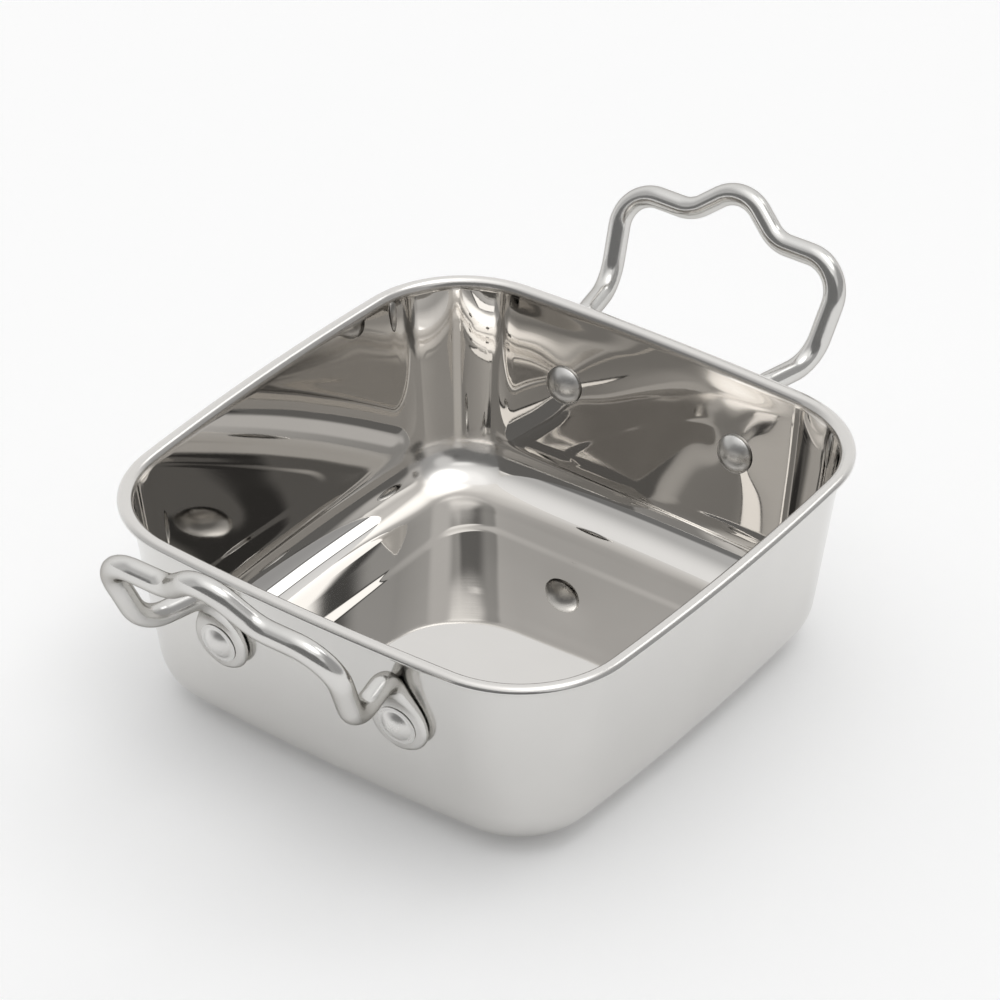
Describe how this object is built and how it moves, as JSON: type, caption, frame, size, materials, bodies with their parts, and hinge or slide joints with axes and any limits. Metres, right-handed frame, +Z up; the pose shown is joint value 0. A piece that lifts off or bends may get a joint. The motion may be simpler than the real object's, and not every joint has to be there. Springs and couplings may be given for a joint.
{
  "type": "roasting pan",
  "caption": "Small square roasting pan drawn from polished steel sheet, with tapered walls, a turned rim and riveted wire loop handles on opposite sides.",
  "frame": {"origin": "on the table plane, under the middle of the flat base, within 1 mm of the middle of the box", "axes": "+X from the front handle to the back handle, +Y along the handle sides, +Z up out of the dish"},
  "size_m": [0.229, 0.1524, 0.088],
  "materials": {
    "dish_steel": "mirror polished inside, satin polished outside",
    "wire_steel": "polished",
    "rivet_steel": "polished"
  },
  "bodies": {
    "root": {"pan_body": "dish_steel", "handle_front": "wire_steel", "handle_back": "wire_steel", "rivet_front_left": "rivet_steel", "rivet_front_right": "rivet_steel", "rivet_back_left": "rivet_steel", "rivet_back_right": "rivet_steel"}
  },
  "joints": []
}
